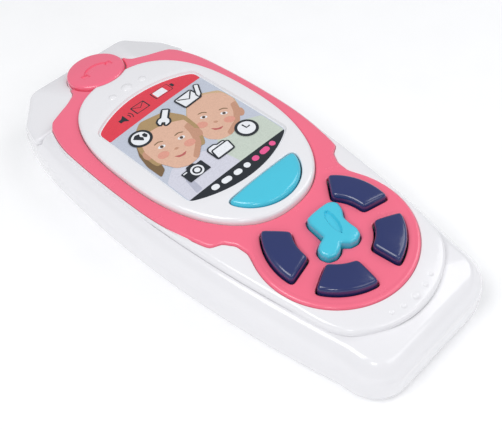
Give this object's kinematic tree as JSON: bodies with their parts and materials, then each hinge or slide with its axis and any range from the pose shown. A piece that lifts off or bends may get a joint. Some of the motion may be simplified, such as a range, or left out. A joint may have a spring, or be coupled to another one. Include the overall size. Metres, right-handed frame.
{
  "type": "toy cell phone",
  "caption": "Chunky toy cell phone with a barrel-shaped white case, pink front frame, round call button, fan of sprung keys and an oval screen bezel.",
  "frame": {"origin": "middle of the flat back, on the surface the phone lies on", "axes": "+Z out of the front face, +Y towards the end with the round call button, +X to the right of the keypad"},
  "size_m": [0.066, 0.148, 0.0238],
  "materials": {
    "white_shell": "glossy injection-moulded plastic",
    "pink_plastic": "glossy moulded plastic",
    "navy_plastic": "satin-gloss moulded plastic",
    "cyan_plastic": "glossy moulded plastic",
    "label_print": "printed film label",
    "silicone": "translucent silicone rubber",
    "circuit_board": "solder mask over glass-fibre board",
    "black_epoxy": "cast epoxy",
    "black_plastic": "moulded plastic",
    "steel_plate": "pressed plated steel",
    "bright_steel": "nickel-plated steel",
    "speaker_paper": "pressed paper cone",
    "magnet": "ferrite magnet",
    "cell_sleeve": "printed sleeve over a steel can",
    "wire_cover": "PVC wire insulation"
  },
  "bodies": {
    "casing": {"rear_cover": "white_shell", "front_cover": "white_shell", "pink_frame": "pink_plastic", "screen_bezel": "white_shell", "screen_label": "label_print", "call_dome": "silicone", "crescent_dome": "silicone", "note_dome": "silicone", "dome_upper_left": "silicone", "dome_lower_left": "silicone", "dome_lower_right": "silicone", "dome_upper_right": "silicone", "main_board": "circuit_board", "call_board": "circuit_board", "chip_blob": "black_epoxy", "speaker_frame": "steel_plate", "speaker_cone": "speaker_paper", "speaker_magnet": "magnet", "battery_left": "cell_sleeve", "battery_right": "cell_sleeve", "contact_springs": "bright_steel", "contact_plates": "bright_steel", "case_screws": "bright_steel", "board_screws": "bright_steel", "switch_body": "black_plastic", "speaker_wires": "wire_cover", "battery_wires": "wire_cover", "call_wires": "wire_cover"},
    "call_button": {"call_button": "pink_plastic"},
    "crescent_button": {"crescent_button": "cyan_plastic"},
    "note_button": {"note_button": "cyan_plastic"},
    "key_upper_left": {"key_upper_left": "navy_plastic"},
    "key_lower_left": {"key_lower_left": "navy_plastic"},
    "key_lower_right": {"key_lower_right": "navy_plastic"},
    "key_upper_right": {"key_upper_right": "navy_plastic"},
    "battery_door": {"battery_door": "white_shell", "door_screw": "bright_steel"},
    "switch_slider": {"switch_slider": "black_plastic"}
  },
  "joints": [
    {"name": "call_button_press", "type": "slide", "parent": "casing", "child": "call_button", "axis": [0, 0, -1], "range_m": [0, 0.0013], "stiffness_N_per_m": 450, "springref_m": -0.0008, "deforming": ["call_dome"]},
    {"name": "crescent_button_press", "type": "slide", "parent": "casing", "child": "crescent_button", "axis": [0, 0, -1], "range_m": [0, 0.0013], "stiffness_N_per_m": 450, "springref_m": -0.0008, "deforming": ["crescent_dome"]},
    {"name": "note_button_press", "type": "slide", "parent": "casing", "child": "note_button", "axis": [0, 0, -1], "range_m": [0, 0.0013], "stiffness_N_per_m": 450, "springref_m": -0.0008, "deforming": ["note_dome"]},
    {"name": "key_upper_left_press", "type": "slide", "parent": "casing", "child": "key_upper_left", "axis": [0, 0, -1], "range_m": [0, 0.0013], "stiffness_N_per_m": 450, "springref_m": -0.0008, "deforming": ["dome_upper_left"]},
    {"name": "key_lower_left_press", "type": "slide", "parent": "casing", "child": "key_lower_left", "axis": [0, 0, -1], "range_m": [0, 0.0013], "stiffness_N_per_m": 450, "springref_m": -0.0008, "deforming": ["dome_lower_left"]},
    {"name": "key_lower_right_press", "type": "slide", "parent": "casing", "child": "key_lower_right", "axis": [0, 0, -1], "range_m": [0, 0.0013], "stiffness_N_per_m": 450, "springref_m": -0.0008, "deforming": ["dome_lower_right"]},
    {"name": "key_upper_right_press", "type": "slide", "parent": "casing", "child": "key_upper_right", "axis": [0, 0, -1], "range_m": [0, 0.0013], "stiffness_N_per_m": 450, "springref_m": -0.0008, "deforming": ["dome_upper_right"]},
    {"name": "door_hinge", "type": "hinge", "parent": "casing", "child": "battery_door", "pos_m": [0, -0.0049, 0.0011], "axis": [-1, 0, 0], "range_deg": [0, 75]},
    {"name": "switch_slide", "type": "slide", "parent": "casing", "child": "switch_slider", "axis": [1, 0, 0], "range_m": [0, 0.0026]}
  ]
}
